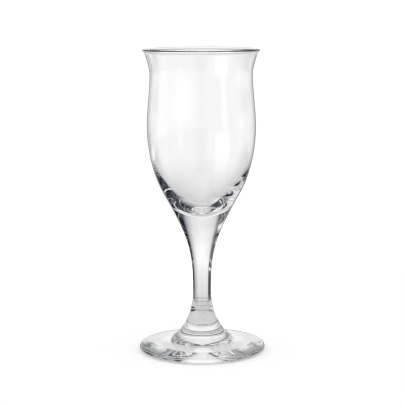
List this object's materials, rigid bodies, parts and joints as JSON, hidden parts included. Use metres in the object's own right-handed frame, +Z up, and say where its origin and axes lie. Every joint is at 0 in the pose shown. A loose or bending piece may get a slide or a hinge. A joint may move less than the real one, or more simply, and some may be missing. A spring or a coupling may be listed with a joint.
{
  "type": "red wine glass",
  "caption": "Stemmed wine glass of clear glass: a tulip bowl with an out-turned lip on a tapering solid stem, standing on a round foot with a flared collar.",
  "frame": {"origin": "centre of the foot on the surface that the glass stands on", "axes": "+Z up along the axis of the stem and bowl; X and Y are free, because every piece is turned about Z"},
  "size_m": [0.0796, 0.0796, 0.1902],
  "materials": {
    "bowl_glass": "clear blown glass, fire polished at the lip",
    "stem_glass": "clear drawn glass, fire polished",
    "foot_glass": "clear cast glass, fire polished, with faint tool rings"
  },
  "bodies": {
    "root": {"bowl": "bowl_glass", "stem": "stem_glass", "foot": "foot_glass"}
  },
  "joints": []
}
